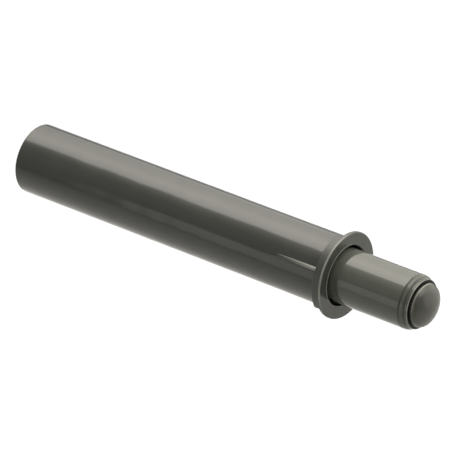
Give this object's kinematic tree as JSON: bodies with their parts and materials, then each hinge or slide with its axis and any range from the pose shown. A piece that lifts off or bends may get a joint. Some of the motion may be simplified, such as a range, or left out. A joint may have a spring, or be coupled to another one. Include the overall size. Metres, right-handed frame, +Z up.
{
  "type": "cabinet door damper",
  "caption": "Press-in cabinet door damper: a flanged grey tube for a drilled hole, with a sprung hydraulic plunger and domed nose that slow a closing door.",
  "frame": {"origin": "on the damper's axis, in the plane of the collar's back face that seats on the cabinet", "axes": "+X along the axis towards the nose, +Z up with the axis level, +Y sideways"},
  "size_m": [0.0688, 0.0124, 0.0124],
  "materials": {
    "tube_plastic": "glossy moulded dust-grey plastic",
    "plunger_plastic": "glossy moulded dust-grey plastic",
    "soft_nose": "satin soft plastic",
    "black_rubber": "matt black rubber",
    "ground_steel": "ground steel",
    "spring_steel": "drawn spring wire",
    "acetal": "satin natural acetal",
    "closed_foam": "closed-cell foam"
  },
  "bodies": {
    "housing": {"housing": "tube_plastic", "piston_rod": "ground_steel", "piston": "acetal", "piston_ring": "black_rubber", "valve_disc": "ground_steel", "spring_seat": "acetal", "return_spring": "spring_steel"},
    "plunger": {"damper_cylinder": "plunger_plastic", "front_cap": "plunger_plastic", "buffer_pad": "black_rubber", "dome_cap": "soft_nose", "cap_seal": "black_rubber", "foam_washer": "ground_steel", "compensator_foam": "closed_foam", "backup_washer": "acetal", "rod_seal": "black_rubber", "rod_guide": "acetal"}
  },
  "joints": [
    {"name": "plunger_slide", "type": "slide", "parent": "housing", "child": "plunger", "axis": [-1, 0, 0], "range_m": [0, 0.012], "stiffness_N_per_m": 100, "springref_m": -0.01, "deforming": ["return_spring"]}
  ]
}
